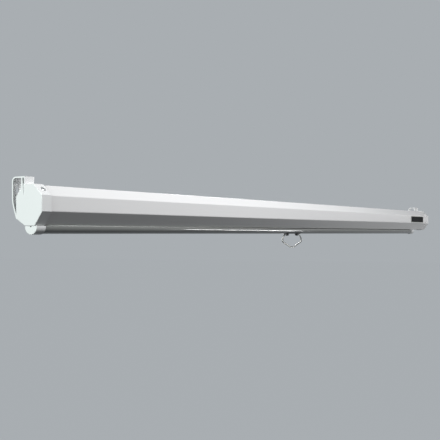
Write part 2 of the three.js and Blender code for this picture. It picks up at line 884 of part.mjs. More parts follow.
// The outline of a flat-topped half round whose top runs up to a height
function halfRound(radius, top = 0) {
  const shape = new THREE.Shape();
  shape.moveTo(-radius, top);
  shape.lineTo(-radius, -barSide);
  shape.absarc(0, -barSide, radius, Math.PI, 2 * Math.PI, false);
  shape.lineTo(radius, top);
  return shape;
}

// A half round open at the top in a round keyway for the hem rod, hollow below it
function barSection() {
  const half = keySlotWidth / 2;
  const mouth = Math.asin(half / keyRadius);
  const shape = halfRound(barRadius);
  shape.lineTo(half, 0);
  shape.absarc(0, keyZ, keyRadius, Math.PI / 2 - mouth, mouth - Math.PI * 1.5, true);
  shape.lineTo(-half, 0);
  const inner = barRadius - barWall;
  const wall = keyRadius + barWall;
  const shoulder = Math.asin((barWall + keyZ) / -wall);
  const start = Math.asin((barWall - barSide) / inner);
  const hollow = new THREE.Path();
  hollow.absarc(0, -barSide, inner, Math.PI + start, 2 * Math.PI - start, false);
  hollow.absarc(0, keyZ, wall, shoulder, Math.PI - shoulder, true);
  shape.holes.push(hollow);
  return shape;
}

// The part of the bar's wall under the clip, drawn about the half round's own centre
function clipSection(inner, outer, spare) {
  const half = clipWrapAngle + spare / barRadius;
  return sector(inner, outer, Math.PI * 1.5 - half, Math.PI * 1.5 + half);
}

function weightBar() {
  const end = barLength / 2 - barCapPlate - fitGap;
  const bar = prism(barSection(), -end, end, barSides);
  const opening = clipSection(barRadius - clipWall - overrun, barRadius + overrun, fitGap);
  const seat = prism(opening, -clipHalfLength - fitGap, clipHalfLength + fitGap);
  seat.translate(handleOffset, 0, -barSide);
  const pilots = [-clipScrewPlace, clipScrewPlace].map((place) => {
    const x = handleOffset + place;
    const foot = keyZ - keyRadius - barWall - overrun;
    return rod(clipScrewShankRadius + pinGap, [x, 0, keyZ], [x, 0, foot], fewSides);
  });
  return cut(bar, [seat, ...pilots]);
}

// The cap at the low end of x
function barCap() {
  const from = -barLength / 2;
  const to = from + barCapSkirt;
  const outer = bevelledPrism(halfRound(barRadius + barCapGap + barCapWall), from, to, barCapBevel, barSides);
  const hollow = prism(halfRound(barRadius + barCapGap, overrun), from + barCapPlate, to + overrun, barSides);
  const notch = block(
    [from - overrun, -barNotchWidth / 2, -barNotchDepth],
    [from + barCapPlate + overrun, barNotchWidth / 2, overrun],
  );
  const pegY = (barRadius - barWall + keyRadius + barWall) / 2;
  const pegZ = keyZ - barPegDrop;
  const pegs = [-pegY, pegY].map((y) => (
    rod(barPegRadius, [from + barCapPlate / 2, y, pegZ], [from + barPlugDepth, y, pegZ], fewSides)
  ));
  return joined([cut(outer, [hollow, notch]), ...pegs]);
}

// Handle clip, drawn about its own middle, with its heights from the bar's top

const pivotZ = -barSide - barRadius - pivotDrop;
const clipScrewSeat = -barSide - barRadius + clipScrewSunk;
const clipScrewLength = keyZ - keyRadius - clipScrewReach - clipScrewSeat;

function handleClip() {
  const [from, to] = [-clipHalfLength, clipHalfLength];
  const saddle = prism(clipSection(barRadius - clipWall, barRadius, 0), from, to).translate(0, 0, -barSide);
  const padTop = keyZ - keyRadius - barWall - fitGap;
  const padFoot = -barSide - barRadius + clipWall / 2;
  const pads = [-clipScrewPlace, clipScrewPlace].map((x) => (
    block([x - padHalfLength, -padHalfWidth, padFoot], [x + padHalfLength, padHalfWidth, padTop])
  ));
  const onPivot = (radius, near, far) => [1, -1].map((side) => (
    rod(radius, [side * near, 0, pivotZ], [side * far, 0, pivotZ])
  ));
  const ears = onPivot(earRadius, earInner, earOuter);
  const bores = onPivot(wireRadius + pinGap, stubInner - fitGap, earOuter + overrun);
  const notches = onPivot(wireRadius + notchGap, earOuter, clipHalfLength + overrun);
  const screwHoles = [-clipScrewPlace, clipScrewPlace].flatMap((x) => [
    rod(clipScrewHeadRadius + fitGap, [x, 0, pivotZ - overrun], [x, 0, clipScrewSeat], smallSides),
    rod(clipScrewShankRadius + pinGap, [x, 0, pivotZ], [x, 0, padTop + overrun], fewSides),
  ]);
  return cut(joined([saddle, ...pads, ...ears]), [...bores, ...notches, ...screwHoles]);
}

// Straight runs joined by rounded corners; each corner is [x, z, radius]
function wirePath(start, corners, end) {
  const path = new THREE.CurvePath();
  const spot = ([x, z]) => new THREE.Vector3(x, 0, z);
  let last = spot(start);
  corners.forEach((corner, i) => {
    const here = spot(corner);
    const next = spot(corners[i + 1] || end);
    const back = last.clone().sub(here).normalize();
    const ahead = next.clone().sub(here).normalize();
    const trim = corner[2] / Math.tan(back.angleTo(ahead) / 2);
    const from = here.clone().addScaledVector(back, trim);
    const to = here.clone().addScaledVector(ahead, trim);
    path.add(new THREE.LineCurve3(last, from));
    path.add(new THREE.QuadraticBezierCurve3(from, here, to));
    last = to;
  });
  path.add(new THREE.LineCurve3(last, spot(end)));
  return path;
}

// The wire handle hanging from its pivot line
function pullHandle() {
  const half = bailShares.map(([across, down, round]) => (
    [bailHalfWidth * across, -bailDrop * down, bailDrop * round]
  ));
  const corners = [...half, ...half.map(([x, z, round]) => [-x, z, round]).reverse()];
  const path = wirePath([stubInner, 0], corners, [-stubInner, 0]);
  return new THREE.ExtrudeGeometry(roundSection(wireRadius, wireSides), {
    steps: wireSteps,
    extrudePath: path,
  });
}

// Assembly

const caseGroup = new THREE.Group();
add(caseGroup, 'case_shell', caseShell(), whiteEnamel);
add(caseGroup, 'end_cap_left', endCap(idleSeat()), whitePlastic);
add(caseGroup, 'end_cap_right', mirrored(endCap(spindleSeat())), whitePlastic);
[['left', leftEnd + capScrewInset], ['right', rightEnd - capScrewInset]].forEach(([end, x]) => {
  capScrewPlaces().forEach((place, i) => {
    const shape = panScrew(screwShankLength, screwShankRadius, screwHeadRadius, screwHeadHeight);
    const screw = add(caseGroup, `cap_screw_${end}_${['front', 'rear'][i]}`, shape, zincSteel);
    screw.position.set(x, place.y, place.z);
    screw.quaternion.setFromUnitVectors(xAxis, new THREE.Vector3(0, ...place.out));
  });
});

const badgeGroup = new THREE.Group();
const frontMiddle = (caseBottom + frontLowRise + caseTop - frontHighRise) / 2;
badgeGroup.position.set(rightEnd - badgeFromEnd, caseFront - fitGap, frontMiddle);
add(badgeGroup, 'badge_frame', badgeFrame(), paleBadge);
add(badgeGroup, 'badge_panel', badgePanel(), blackBadge);
caseGroup.add(badgeGroup);

const spindleGroup = new THREE.Group();
spindleGroup.position.set(0, rollerY, rollerZ);
const bushFrom = leftEnd + capPlate - bushSeat + fitGap;
const bushTo = leftEnd + capPlate + bushBossHeight;
add(spindleGroup, 'idle_bush', ring(bushFrom, bushTo, gudgeonRadius + pinGap, bushRadius), bronze);
add(spindleGroup, 'spindle', spindle(), zincSteel);
add(spindleGroup, 'ratchet_wheel', ratchetWheel(), springSteel);
add(spindleGroup, 'torsion_spring', torsionSpring(), springSteel);
add(spindleGroup, 'spring_anchor', springAnchor(), greyPlastic);
const clipTo = anchorLeft - fitGap;
const spindleClip = ring(clipTo - clipThickness, clipTo, spindleRadius + pinGap, clipRadius);
add(spindleGroup, 'spindle_clip', spindleClip, springSteel);
caseGroup.add(spindleGroup);
add(caseGroup, 'screen_lead', screenLead(), screenCloth);

const rollerGroup = new THREE.Group();
rollerGroup.position.set(0, rollerY, rollerZ);
const rollerTube = ring(tubeLeft, tubeRight, tubeRadius - tubeWall, tubeRadius, wideSides);
add(rollerGroup, 'roller_tube', rollerTube, zincSteel);
add(rollerGroup, 'idle_plug', idlePlug(), greyPlastic);
add(rollerGroup, 'gudgeon_pin', gudgeonPin(), zincSteel);
add(rollerGroup, 'roller_head', rollerHead(), greyPlastic);
const headBush = ring(headInner - headBushLength, headInner, spindleRadius + pinGap, headBore - pinGap);
add(rollerGroup, 'head_bush', headBush, bronze);
add(rollerGroup, 'head_cover', headCover(), zincSteel);
add(rollerGroup, 'screen_roll', ring(screenLeft, screenRight, rollInner, rollOuter, wideSides), screenCloth);
pawlPlaces().forEach((angle, i) => {
  const [y, z] = onPinCircle(angle);
  const letter = 'ab'[i] || String(i);
  const [pinFrom, pinTo] = [headInner - pawlPinSeat + pinGap, headInner + pawlWidth + pawlPinProud];
  const pawlPin = pin(pinFrom, pinTo, pawlPinRadius, pinGap, smallSides);
  add(rollerGroup, `pawl_pin_${letter}`, pawlPin, zincSteel).position.set(0, y, z);
  const hook = add(rollerGroup, `pawl_${letter}`, pawl(), springSteel);
  hook.position.set(headInner + fitGap, y, z);
  hook.rotation.x = angle;
});

const barGroup = new THREE.Group();
barGroup.position.set(barMiddle, slotY, barTop);
add(barGroup, 'weight_bar', weightBar(), whiteAluminium);
add(barGroup, 'bar_cap_left', barCap(), whitePlastic);
add(barGroup, 'bar_cap_right', mirrored(barCap()), whitePlastic);
const hemHalf = screenWidth / 2 - hemInset;
const hemEnds = [screenOffset - hemHalf, screenOffset + hemHalf].map((x) => [x, 0, keyZ]);
add(barGroup, 'hem_rod', rod(hemRodRadius, ...hemEnds, fewSides), greyPlastic);
const clothHalf = clothThickness / 2;
const dropShape = block(
  [screenLeft - barMiddle, -clothHalf, keyZ + hemRodRadius + fitGap],
  [screenRight - barMiddle, clothHalf, guideZ - fitGap - barTop],
);
add(barGroup, 'screen_drop', dropShape, screenCloth);

const clipGroup = new THREE.Group();
clipGroup.position.set(handleOffset, 0, 0);
add(clipGroup, 'handle_clip', handleClip(), blackPlastic);
[['left', -clipScrewPlace], ['right', clipScrewPlace]].forEach(([end, x]) => {
  const shape = panScrew(clipScrewLength, clipScrewShankRadius, clipScrewHeadRadius, clipScrewHeadHeight);
  const screw = add(clipGroup, `clip_screw_${end}`, shape, zincSteel);
  screw.position.set(x, 0, clipScrewSeat);
  screw.quaternion.setFromUnitVectors(xAxis, zAxis.clone().negate());
});

const handleGroup = new THREE.Group();
handleGroup.position.set(0, 0, pivotZ);
add(handleGroup, 'pull_handle', pullHandle(), polishedWire);
clipGroup.add(handleGroup);
barGroup.add(clipGroup);

const projectorScreen = new THREE.Group();
projectorScreen.add(caseGroup, rollerGroup, barGroup);

console.log(`least gap between the spring's curls: ${leastSpringGap().toFixed(2)} mm`);

export default projectorScreen;
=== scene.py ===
"""Pull down projector screen, wound up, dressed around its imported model.

The frame holds the sizes and the moving bodies. This script gives the pieces their folded,
moulded, wound and woven surfaces, and sets the camera, the lamps and the floor.
Lengths in the script are metres, and MM turns millimetres into them.
"""

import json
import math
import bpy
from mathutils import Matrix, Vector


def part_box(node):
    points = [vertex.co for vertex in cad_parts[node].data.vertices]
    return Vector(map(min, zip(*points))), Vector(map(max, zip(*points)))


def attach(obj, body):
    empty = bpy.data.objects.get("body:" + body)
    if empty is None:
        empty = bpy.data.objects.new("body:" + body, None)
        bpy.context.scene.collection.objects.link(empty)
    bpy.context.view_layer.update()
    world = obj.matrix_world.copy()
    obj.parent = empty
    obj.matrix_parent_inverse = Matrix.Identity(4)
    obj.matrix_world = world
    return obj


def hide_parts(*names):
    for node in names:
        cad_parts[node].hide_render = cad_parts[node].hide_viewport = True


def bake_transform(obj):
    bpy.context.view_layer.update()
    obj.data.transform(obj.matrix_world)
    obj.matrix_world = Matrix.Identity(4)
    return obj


bl_info = {
    "name": "Projector Screen Dresser",
    "version": (1, 0, 0),
    "blender": (4, 5, 0),
    "location": "View3D > Sidebar > Projector Screen",
    "description": "Dresses the packed model of a pull down projector screen",
    "category": "Object",
}

import bmesh
import bpy
from bpy.props import FloatProperty, FloatVectorProperty, IntProperty, PointerProperty
from mathutils import Matrix, Vector

MM = 0.001

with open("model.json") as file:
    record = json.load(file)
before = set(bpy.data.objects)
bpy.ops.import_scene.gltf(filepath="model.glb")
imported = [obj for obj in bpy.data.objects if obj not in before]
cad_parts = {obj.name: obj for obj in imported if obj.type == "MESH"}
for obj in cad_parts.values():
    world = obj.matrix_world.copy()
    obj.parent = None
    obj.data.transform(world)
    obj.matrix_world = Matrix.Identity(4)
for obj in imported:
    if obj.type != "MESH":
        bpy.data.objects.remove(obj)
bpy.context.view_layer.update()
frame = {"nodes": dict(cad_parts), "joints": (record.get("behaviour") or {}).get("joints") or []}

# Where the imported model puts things

CASE_LOW, CASE_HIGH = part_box("case_shell")
TUBE_LOW, TUBE_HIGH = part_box("roller_tube")
ROLL_LOW, ROLL_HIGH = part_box("screen_roll")
LEAD_LOW, LEAD_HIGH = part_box("screen_lead")
DROP_LOW, DROP_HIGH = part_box("screen_drop")
HEM_LOW, HEM_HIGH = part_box("hem_rod")
BAR_LOW, BAR_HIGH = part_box("weight_bar")
HANDLE_LOW, HANDLE_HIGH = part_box("pull_handle")
SPRING_LOW, SPRING_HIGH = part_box("torsion_spring")
ROLLER_AXIS = (TUBE_LOW + TUBE_HIGH) / 2
DROP_JOINT = next(joint for joint in frame["joints"] if joint["name"] == "bar_drop")
PULL = DROP_JOINT["range_m"][1]


def linear(code):
    """The linear colour of an sRGB hex code."""
    shares = [int(code[i:i + 2], 16) / 255 for i in (1, 3, 5)]
    return tuple(s / 12.92 if s <= 0.04045 else ((s + 0.055) / 1.055) ** 2.4 for s in shares)


def length(name, description, millimetres):
    """A length that a user may change."""
    return FloatProperty(
        name=name, description=description, default=millimetres * MM, unit="LENGTH", precision=5
    )


def colour(name, description, code):
    """A surface colour that a user may change."""
    return FloatVectorProperty(
        name=name, description=description, default=linear(code), subtype="COLOR", size=3,
        min=0, max=1,
    )


class ScreenSizes(bpy.types.PropertyGroup):
    fold_radius: length("Fold radius", "Outer radius of the folds in the steel case", 1.8)
    sheet_thickness: length("Sheet thickness", "Thickness of the case's steel sheet", 1.2)
    mould_radius: length("Mould radius", "Rounding of the edges of moulded pieces", 0.35)
    machined_edge: length("Machined edge", "Broken edge of turned and punched pieces", 0.15)
    spring_wire: length("Spring wire radius", "Radius of the torsion spring's wire", 1.1)
    spring_pitch: length("Spring pitch", "Distance from one curl of the spring to the next", 14.0)
    cloth_thickness: length("Cloth thickness", "Thickness of the screen cloth", 0.4)
    cloth_border: length("Cloth border", "Width of the cloth's black border", 29.0)
    cloth_turns: IntProperty(
        name="Turns of cloth", description="Turns of cloth wound on the roller", default=11, min=1
    )
    handle_wire: length("Handle wire radius", "Radius of the pull handle's wire", 1.9)
    handle_stub: length("Handle stub", "Half the gap between the ends of the handle's wire", 28.5)
    skirt_trim: length(
        "Bar cap trim", "How far the bar caps' skirts stop short of the packed ones", 8.0
    )


class ScreenColours(bpy.types.PropertyGroup):
    enamel: colour("Enamel", "Powder coat on the steel case", "#e9e9ea")
    moulding: colour("Moulding", "White plastic of the end caps", "#ecedee")
    # The bar's colour is partly its own grey coat and partly painted shade: it is darker than the
    # real pale coat so that the bar looks shaded under the case.
    bar_coat_and_painted_shade: colour("Bar coat", "Coat on the aluminium weight bar", "#8c8e8c")
    black_moulding: colour("Black moulding", "Black plastic of the handle clip", "#101112")
    grey_moulding: colour("Grey moulding", "Grey plastic inside the roller", "#7c7f82")
    badge_rim: colour("Badge rim", "Pale rim of the badge", "#d9dad6")
    badge_panel: colour("Badge panel", "Black panel of the badge", "#08080a")
    zinc: colour("Zinc", "Zinc plate on steel", "#b9bcbd")
    spring_steel: colour("Spring steel", "Oiled spring steel", "#77797b")
    nickel: colour("Nickel", "Nickel plate on the handle", "#a3a29e")
    bronze: colour("Bronze", "Sintered bronze of the bushes", "#a0733c")
    cloth_face: colour("Cloth face", "Matt white face of the screen", "#eeeeec")
    cloth_back: colour("Cloth back", "Black back and border of the screen", "#141415")


class StageSettings(bpy.types.PropertyGroup):
    background: colour("Background", "Colour of the floor and of what is behind it", "#a9aeb2")
    floor_drop: length("Floor drop", "How far the floor lies under the mounting height", 2100)
    fill: FloatProperty(
        name="Fill", description="Light from all round", default=0.015, min=0, max=1
    )


# Mesh helpers

# Corners nearer than MERGE are one. Faces that meet at less than FLAT are one face, edges over
# SHARP are rounded, and edges over SMOOTH stay sharp to the eye.
MERGE = 0.002 * MM
FLAT = math.radians(1)
SHARP = math.radians(28)
SMOOTH = math.radians(50)


def cad_mesh(node):
    """A bmesh of a CAD node with its corners merged and its flat faces made whole."""
    bm = bmesh.new()
    bm.from_mesh(frame["nodes"][node].data)
    bmesh.ops.remove_doubles(bm, verts=bm.verts, dist=MERGE)
    bmesh.ops.dissolve_limit(bm, angle_limit=FLAT, verts=bm.verts, edges=bm.edges)
    return bm


def bevel(bm, edges, offset, segments):
    """Rounds edges to an offset."""
    bmesh.ops.bevel(
        bm, geom=list(edges), offset=offset, offset_type="OFFSET", segments=segments,
        profile=0.5, affect="EDGES", clamp_overlap=True, material=-1,
    )


def sharp_edges(bm):
    """The edges whose faces meet at more than SHARP."""
    return [e for e in bm.edges if e.is_manifold and e.calc_face_angle(0) > SHARP]


def piece(name, bm, body, materials, replaces, closed=True):
    """An object of a bmesh that moves with a body and stands for CAD nodes."""
    mesh = bpy.data.meshes.new(name)
    if closed:
        bmesh.ops.recalc_face_normals(bm, faces=bm.faces)
    bm.to_mesh(mesh)
    bm.free()
    for material in materials:
        mesh.materials.append(material)
    mesh.shade_smooth()
    mesh.set_sharp_from_angle(angle=SMOOTH)
    obj = bpy.data.objects.new(name, mesh)
    bpy.context.scene.collection.objects.link(obj)
    if body:
        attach(obj, body)
    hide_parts(*replaces)
    return obj


def even_normals(obj):
    """Makes wide faces look flat beside narrow rounded edges."""
    evened = obj.modifiers.new("Even normals", "WEIGHTED_NORMAL")
    evened.keep_sharp = True


EDGE_STEPS = 2


def rounded_copy(name, node, body, material, radius, shape=None):
    """A copy of a CAD node, or of a shape made from it, with its sharp edges rounded."""
    bm = shape or cad_mesh(node)
    bevel(bm, sharp_edges(bm), radius, EDGE_STEPS)
    obj = piece(name, bm, body, [material], [node])
    even_normals(obj)
    return obj


# Material helpers

# The places of a colour Mix node's sockets
MIX_FACTOR, MIX_A, MIX_B, MIX_RESULT = 0, 6, 7, 2


def add(tree, kind, inputs=None, **settings):
    """A shader node with its settings, its values and the links that come into it."""
    node = tree.nodes.new("ShaderNode" + kind)
    for name, value in settings.items():
        setattr(node, name, value)
    for name, value in (inputs or {}).items():
        if isinstance(value, bpy.types.NodeSocket):
            tree.links.new(value, node.inputs[name])
        else:
            node.inputs[name].default_value = value
    return node


def start(name):
    """A new material with its node tree and its surface shader."""
    material = bpy.data.materials.new(name)
    material.use_nodes = True
    tree = material.node_tree
    tree.nodes.clear()
    shader = add(tree, "BsdfPrincipled")
    add(tree, "OutputMaterial", {"Surface": shader.outputs["BSDF"]})
    return material, tree, shader


def shade(base, factor):
    """A linear colour made darker or lighter by a factor."""
    return tuple(min(1, channel * factor) for channel in base)


def grain(tree, size, stretch=(1, 1, 1), detail=2.0):
    """Noise whose grains are of a real size, drawn out along an axis where asked."""
    where = add(tree, "TexCoord").outputs["Object"]
    placed = add(tree, "Mapping", {"Vector": where, "Scale": stretch})
    return add(
        tree, "TexNoise",
        {"Vector": placed.outputs["Vector"], "Scale": 1 / size, "Detail": detail},
    ).outputs["Fac"]


def finish(tree, shader, tones, tone_mask, rough, rough_mask, relief, height):
    """Links tone, roughness and relief to a shader. tones and rough are pairs."""
    mix = add(tree, "Mix", {
        MIX_FACTOR: tone_mask, MIX_A: (*tones[0], 1), MIX_B: (*tones[1], 1),
    }, data_type="RGBA")
    ranged = add(tree, "MapRange", {"Value": rough_mask, "To Min": rough[0], "To Max": rough[1]})
    bump = add(tree, "Bump", {"Height": relief, "Distance": height, "Strength": 1.0})
    tree.links.new(mix.outputs[MIX_RESULT], shader.inputs["Base Color"])
    tree.links.new(ranged.outputs["Result"], shader.inputs["Roughness"])
    tree.links.new(bump.outputs["Normal"], shader.inputs["Normal"])


# Materials

def powder_coated_steel(base):
    # Polyester powder melted on sheet steel: an even satin white with a faint orange peel.
    # The peel is really 1 mm wide and is drawn 3 mm wide so that it shows.
    material, tree, shader = start("powder_coated_steel")
    shader.inputs["Specular IOR Level"].default_value = 0.4
    drift = grain(tree, 160 * MM)
    finish(tree, shader, tones=(base, shade(base, 0.965)), tone_mask=drift,
           rough=(0.3, 0.42), rough_mask=drift, relief=grain(tree, 3 * MM), height=0.012 * MM)
    return material


def moulded_abs(base):
    # ABS moulded in a spark-eroded tool: a soft, even sheen with a fine grain.
    # The grain is really 0.1 mm wide and is drawn 1.6 mm wide so that it shows close up.
    material, tree, shader = start("moulded_white_abs")
    finish(tree, shader, tones=(base, shade(base, 0.975)), tone_mask=grain(tree, 45 * MM),
           rough=(0.3, 0.42), rough_mask=grain(tree, 8 * MM),
           relief=grain(tree, 1.6 * MM, detail=4), height=0.007 * MM)
    return material


def coated_aluminium_and_painted_shade(base):
    # Aluminium pushed through a die, then painted: straight draw lines run the whole length.
    # The lines are really 0.3 mm apart and are drawn 1.5 mm apart so that they show.
    # The colour that comes in for the bar is partly the coat's own grey and partly painted shade
    # for the shadow under the case.
    material, tree, shader = start("coated_extruded_aluminium")
    shader.inputs["Specular IOR Level"].default_value = 0.45
    lines = grain(tree, 1.5 * MM, stretch=(0.004, 1, 1))
    finish(tree, shader, tones=(base, shade(base, 0.94)), tone_mask=lines,
           rough=(0.06, 0.11), rough_mask=lines, relief=lines, height=0.004 * MM)
    return material


def moulded_black_abs(base):
    # Black ABS from a matt tool: dark, with a wide soft highlight and slightly rubbed edges.
    # The grain is really 0.1 mm wide and is drawn 0.9 mm wide so that it shows close up.
    material, tree, shader = start("moulded_black_abs")
    finish(tree, shader, tones=(base, shade(base, 2.2)), tone_mask=grain(tree, 12 * MM),
           rough=(0.38, 0.52), rough_mask=grain(tree, 4 * MM),
           relief=grain(tree, 0.9 * MM, detail=3), height=0.02 * MM)
    return material


def moulded_acetal(base):
    # Acetal for running parts: waxy grey with a low sheen, and flow marks some 60 mm long.
    # The grain is really 0.2 mm wide and is drawn 1.2 mm wide so that it shows close up.
    material, tree, shader = start("moulded_grey_acetal")
    flow = grain(tree, 18 * MM, stretch=(0.3, 1, 1))
    finish(tree, shader, tones=(base, shade(base, 0.86)), tone_mask=flow,
           rough=(0.36, 0.5), rough_mask=grain(tree, 6 * MM),
           relief=grain(tree, 1.2 * MM), height=0.015 * MM)
    return material


def badge_rim_plastic(base):
    # The badge's rim, moulded in pale ABS with a satin face.
    # The grain is really 0.1 mm wide and is drawn 1 mm wide so that it shows close up.
    material, tree, shader = start("satin_pale_abs")
    finish(tree, shader, tones=(base, shade(base, 0.95)), tone_mask=grain(tree, 20 * MM),
           rough=(0.24, 0.34), rough_mask=grain(tree, 9 * MM),
           relief=grain(tree, 1.0 * MM), height=0.008 * MM)
    return material


def badge_panel_ink(base):
    # Black ink screen printed on a plastic plate: dense and matt, with a little unevenness.
    # The printing mesh is really 0.1 mm wide and is drawn 0.8 mm wide so that it shows close up.
    material, tree, shader = start("screen_printed_black_ink")
    shader.inputs["Specular IOR Level"].default_value = 0.05
    cloud = grain(tree, 6 * MM, detail=4)
    finish(tree, shader, tones=(base, shade(base, 1.6)), tone_mask=cloud,
           rough=(0.5, 0.66), rough_mask=cloud, relief=grain(tree, 0.8 * MM), height=0.01 * MM)
    return material


def zinc_plated_steel(base):
    # Bright zinc on steel: cloudy grey metal with a blurred shine.
    # The crystals are really 0.05 mm wide and are drawn 0.8 mm wide so that they show close up.
    material, tree, shader = start("zinc_plated_steel")
    shader.inputs["Metallic"].default_value = 1.0
    finish(tree, shader, tones=(base, shade(base, 0.82)), tone_mask=grain(tree, 7 * MM, detail=4),
           rough=(0.24, 0.42), rough_mask=grain(tree, 3 * MM),
           relief=grain(tree, 0.8 * MM), height=0.01 * MM)
    return material


def oiled_spring_steel(base):
    # Hardened and oiled spring steel: dark grey metal, brighter where it rubs.
    # The scale on it is really 0.1 mm wide and is drawn 0.7 mm wide so that it shows close up.
    material, tree, shader = start("oiled_spring_steel")
    shader.inputs["Metallic"].default_value = 1.0
    finish(tree, shader, tones=(base, shade(base, 0.6)), tone_mask=grain(tree, 9 * MM, detail=5),
           rough=(0.22, 0.4), rough_mask=grain(tree, 4 * MM),
           relief=grain(tree, 0.7 * MM), height=0.01 * MM)
    return material


def nickel_plated_wire(base):
    # Drawn wire, bent and nickel plated: bright warm metal with drawing marks some 6 mm long.
    # The marks are really 0.1 mm wide and are drawn 2.5 mm wide so that they show.
    material, tree, shader = start("nickel_plated_wire")
    shader.inputs["Metallic"].default_value = 1.0
    marks = grain(tree, 2.5 * MM, stretch=(0.4, 1, 0.4), detail=4)
    finish(tree, shader, tones=(base, shade(base, 0.84)), tone_mask=marks,
           rough=(0.16, 0.3), rough_mask=marks, relief=marks, height=0.006 * MM)
    return material


def sintered_bronze(base):
    # Pressed and sintered bronze powder, soaked in oil: brown metal with fine open pores.
    # The pores are really 0.05 mm wide and are drawn 0.9 mm wide so that they show close up.
    material, tree, shader = start("sintered_bronze")
    shader.inputs["Metallic"].default_value = 1.0
    pores = grain(tree, 0.9 * MM, detail=3)
    finish(tree, shader, tones=(base, shade(base, 0.66)), tone_mask=pores,
           rough=(0.34, 0.56), rough_mask=pores, relief=pores, height=0.03 * MM)
    return material


# Threads are really 0.5 mm apart and are drawn 4 mm apart so that they show. A wave texture of
# scale 1 has a band every pi / 10 metres.
THREAD_SPACING = 4 * MM
WAVE_SPACING = math.pi / 10
THREAD_RELIEF = 0.05 * MM
CLOTH_MAP = "cloth"


def cloth_map(tree):
    """The cloth's own map: metres from its middle, and metres down from the top of the drop."""
    return add(tree, "UVMap", uv_map=CLOTH_MAP).outputs["UV"]


def woven(tree):
    """The relief of a plain weave that follows the cloth's own map."""
    place = cloth_map(tree)
    threads = [
        add(tree, "TexWave",
            {"Vector": place, "Scale": WAVE_SPACING / THREAD_SPACING, "Distortion": 0.4},
            bands_direction=way).outputs["Fac"]
        for way in ("X", "Y")
    ]
    return add(tree, "Math", {0: threads[0], 1: threads[1]}, operation="MULTIPLY").outputs[0]


def screen_face(base, border, half_width, picture_low, picture_high):
    # Woven glass cloth coated matt white, with a black border printed round the picture.
    material, tree, shader = start("matt_white_screen_face")
    spot = add(tree, "SeparateXYZ", {"Vector": cloth_map(tree)}).outputs
    off_middle = add(tree, "Math", {0: spot["X"]}, operation="ABSOLUTE").outputs[0]
    edge = 0
    for place, limit, test in (
        (off_middle, half_width, "GREATER_THAN"),
        (spot["Y"], picture_low, "LESS_THAN"),
        (spot["Y"], picture_high, "GREATER_THAN"),
    ):
        past = add(tree, "Math", {0: place, 1: limit}, operation=test).outputs[0]
        edge = add(tree, "Math", {0: edge, 1: past}, operation="MAXIMUM").outputs[0]
    relief = woven(tree)
    finish(tree, shader, tones=(base, border), tone_mask=edge,
           rough=(0.72, 0.86), rough_mask=relief, relief=relief, height=THREAD_RELIEF)
    return material


def screen_back(base):
    # The same cloth's back, coated black so that no light comes through.
    material, tree, shader = start("black_screen_back")
    relief = woven(tree)
    finish(tree, shader, tones=(base, shade(base, 1.5)), tone_mask=relief,
           rough=(0.62, 0.8), rough_mask=relief, relief=relief, height=THREAD_RELIEF)
    return material


made_materials = {}


def shared_material(maker, *values):
    """A material made once and shared by its pieces."""
    name = maker.__name__
    if name not in made_materials:
        made_materials[name] = maker(*values)
    return made_materials[name]


# Pieces

# A bevel as wide as the fold's radius times the tangent of half its turn rounds it truly. Folded
# sheet looks softer outside, so the outer folds are drawn wider by OUTER_FOLD_SOFTNESS.
STEEPEST_FOLD = math.radians(70)
HALF_FOLD = math.radians(24)
OUTER_FOLD_SOFTNESS, OUTER_FOLD_STEPS = 1.6, 5
INNER_FOLD_SHARE, INNER_FOLD_STEPS = 0.7, 3


class PROJECTOR_OT_case(bpy.types.Operator):
    """Folds the steel case: rounds its folds outside and inside"""
    bl_idname = "projector_screen.case"
    bl_label = "Folded case"

    def execute(self, context):
        sizes, colours = context.scene.screen_sizes, context.scene.screen_colours
        half_case = (CASE_HIGH.x - CASE_LOW.x) / 2
        bm = cad_mesh("case_shell")
        folds = [
            e for e in sharp_edges(bm)
            if abs(e.verts[0].co.x - e.verts[1].co.x) > half_case
            and e.calc_face_angle(0) < STEEPEST_FOLD
        ]
        outer = [e for e in folds if e.calc_face_angle_signed(0) > 0]
        inner = [e for e in folds if e.calc_face_angle_signed(0) <= 0]
        outer_width = sizes.fold_radius * math.tan(HALF_FOLD) * OUTER_FOLD_SOFTNESS
        bevel(bm, outer, outer_width, OUTER_FOLD_STEPS)
        inner_width = (sizes.fold_radius - sizes.sheet_thickness) * INNER_FOLD_SHARE
        bevel(bm, [e for e in inner if e.is_valid], inner_width, INNER_FOLD_STEPS)
        coat = shared_material(powder_coated_steel, tuple(colours.enamel))
        even_normals(piece("folded_case", bm, "case", [coat], ["case_shell"]))
        return {"FINISHED"}


class PROJECTOR_OT_end_caps(bpy.types.Operator):
    """Moulds the two end caps with their wall brackets"""
    bl_idname = "projector_screen.end_caps"
    bl_label = "End caps"

    def execute(self, context):
        sizes, colours = context.scene.screen_sizes, context.scene.screen_colours
        plastic = shared_material(moulded_abs, tuple(colours.moulding))
        for end in ("left", "right"):
            rounded_copy(f"moulded_cap_{end}", f"end_cap_{end}", "case",
                         plastic, sizes.mould_radius)
        return {"FINISHED"}


class PROJECTOR_OT_cap_screws(bpy.types.Operator):
    """Turns the four screws that hold the caps to the case"""
    bl_idname = "projector_screen.cap_screws"
    bl_label = "Cap screws"

    def execute(self, context):
        sizes, colours = context.scene.screen_sizes, context.scene.screen_colours
        zinc = shared_material(zinc_plated_steel, tuple(colours.zinc))
        for end in ("left", "right"):
            for side in ("front", "rear"):
                rounded_copy(f"pan_screw_{end}_{side}", f"cap_screw_{end}_{side}", "case",
                             zinc, sizes.machined_edge)
        return {"FINISHED"}


